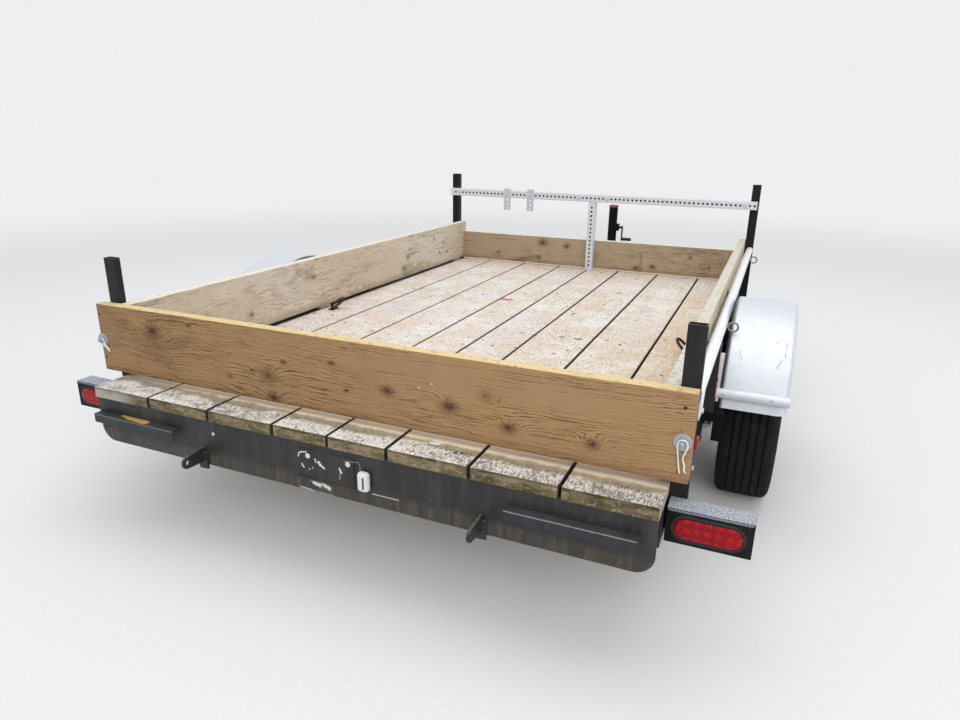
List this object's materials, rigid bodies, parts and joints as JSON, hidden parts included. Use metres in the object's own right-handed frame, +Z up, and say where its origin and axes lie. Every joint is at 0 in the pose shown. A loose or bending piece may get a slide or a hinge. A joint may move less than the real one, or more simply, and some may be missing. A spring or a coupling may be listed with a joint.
{
  "type": "utility trailer",
  "caption": "Single-axle flat utility trailer with a plank deck, board sides, round fenders, an A-frame tongue, a ball coupler and a sliding tongue jack.",
  "frame": {"origin": "on the ground under the middle of the overall length and width", "axes": "+X to the trailer's right, +Y forward to the coupler, +Z up"},
  "size_m": [2.3684, 3.9579, 1.069],
  "materials": {
    "frame_paint": "charcoal frame paint, chipped and dusty",
    "black_paint": "brown-black paint, dull",
    "silver_paint": "silver paint, scratched",
    "rim_paint": "light grey wheel paint",
    "zinc": "zinc-plated steel",
    "red_plastic": "red moulded plastic",
    "white_plastic": "white moulded lamp",
    "rubber": "black rubber",
    "tyre": "worn ribbed rubber",
    "weathered_wood": "weathered treated planks",
    "grey_wood": "greyed treated board",
    "brown_wood": "brown treated board",
    "gold_wood": "golden brown treated board"
  },
  "bodies": {
    "trailer": {"side_rails": "frame_paint", "rear_beam": "frame_paint", "front_beam": "frame_paint", "cross_members": "frame_paint", "tongue_legs": "frame_paint", "tongue_plates": "frame_paint", "coupler": "zinc", "coupler_latch": "zinc", "jack_tube": "black_paint", "jack_cap": "red_plastic", "jack_crank": "zinc", "axle_beam": "black_paint", "leaf_springs": "black_paint", "spring_hangers": "frame_paint", "axle_clamps": "zinc", "fenders": "silver_paint", "fender_pipes": "silver_paint", "fender_stays": "black_paint", "deck_planks": "weathered_wood", "side_boards": "grey_wood", "front_board": "brown_wood", "gate_board": "gold_wood", "gate_pins": "zinc", "rear_posts": "frame_paint", "front_posts": "frame_paint", "mid_stakes": "black_paint", "side_pipes": "silver_paint", "cross_bar": "zinc", "bar_strut": "zinc", "bar_strips": "zinc", "lamp_boxes": "frame_paint", "lamp_grommets": "rubber", "lamp_lenses": "red_plastic", "step_ledges": "frame_paint", "tow_lugs": "frame_paint", "plate_bracket": "frame_paint", "plate_lamp": "white_plastic", "deck_rings": "black_paint", "side_markers": "red_plastic"},
    "jack_leg": {"jack_leg": "zinc"},
    "wheel_left": {"tyre_left": "tyre", "rim_left": "rim_paint", "hub_left": "zinc"},
    "wheel_right": {"tyre_right": "tyre", "rim_right": "rim_paint", "hub_right": "zinc"}
  },
  "joints": [
    {"name": "wheel_left_spin", "type": "hinge", "parent": "trailer", "child": "wheel_left", "pos_m": [-1.0775, -0.678, 0.305], "axis": [1, 0, 0], "continuous": true},
    {"name": "wheel_right_spin", "type": "hinge", "parent": "trailer", "child": "wheel_right", "pos_m": [1.0775, -0.678, 0.305], "axis": [1, 0, 0], "continuous": true},
    {"name": "jack_slide", "type": "slide", "parent": "trailer", "child": "jack_leg", "axis": [0, 0, 1], "range_m": [-0.1, 0.25]}
  ]
}
